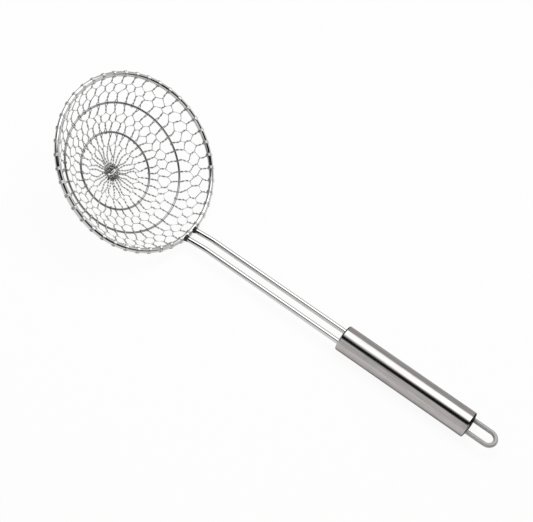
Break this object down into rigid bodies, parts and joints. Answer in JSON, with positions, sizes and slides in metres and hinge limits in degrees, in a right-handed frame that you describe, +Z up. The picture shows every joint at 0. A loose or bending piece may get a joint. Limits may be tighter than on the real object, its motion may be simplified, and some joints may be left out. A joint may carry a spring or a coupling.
{
  "type": "spider skimmer",
  "caption": "Shallow round wire-net bowl on a thick rim ring, held by twin rods in a round tubular handle with a wire hanging loop.",
  "frame": {"origin": "on the table, below the centre of the whole tool's box", "axes": "+X along the handle towards the hanging loop, +Z up with the tool lying on a table"},
  "size_m": [0.3938, 0.1412, 0.0875],
  "materials": {
    "polished_wire": "bright drawn stainless wire",
    "ring_wire": "bright drawn stainless wire",
    "net_wire": "bright thin stainless wire",
    "polished_rod": "polished stainless rod",
    "satin_loop": "satin stainless wire",
    "weld_bead": "dull dark weld",
    "brushed_tube": "fine lengthwise satin over bright steel"
  },
  "bodies": {
    "root": {"outer_net_sector_1": "net_wire", "outer_net_sector_2": "net_wire", "outer_net_sector_3": "net_wire", "outer_net_sector_4": "net_wire", "outer_net_sector_5": "net_wire", "outer_net_sector_6": "net_wire", "outer_net_sector_7": "net_wire", "middle_net_sector_1": "net_wire", "middle_net_sector_2": "net_wire", "middle_net_sector_3": "net_wire", "middle_net_sector_4": "net_wire", "middle_net_sector_5": "net_wire", "middle_net_sector_6": "net_wire", "middle_net_sector_7": "net_wire", "inner_net_sector_1": "net_wire", "inner_net_sector_2": "net_wire", "inner_net_sector_3": "net_wire", "inner_net_sector_4": "net_wire", "inner_net_sector_5": "net_wire", "inner_net_sector_6": "net_wire", "inner_net_sector_7": "net_wire", "rim_ring": "polished_wire", "middle_ring": "ring_wire", "inner_ring": "ring_wire", "hub_ring": "ring_wire", "centre_knot": "net_wire", "rim_wraps": "net_wire", "left_rod": "polished_rod", "right_rod": "polished_rod", "left_rod_weld": "weld_bead", "right_rod_weld": "weld_bead", "handle_tube": "brushed_tube", "front_end_cap": "brushed_tube", "rear_end_cap": "brushed_tube", "hanging_loop": "satin_loop"}
  },
  "joints": []
}
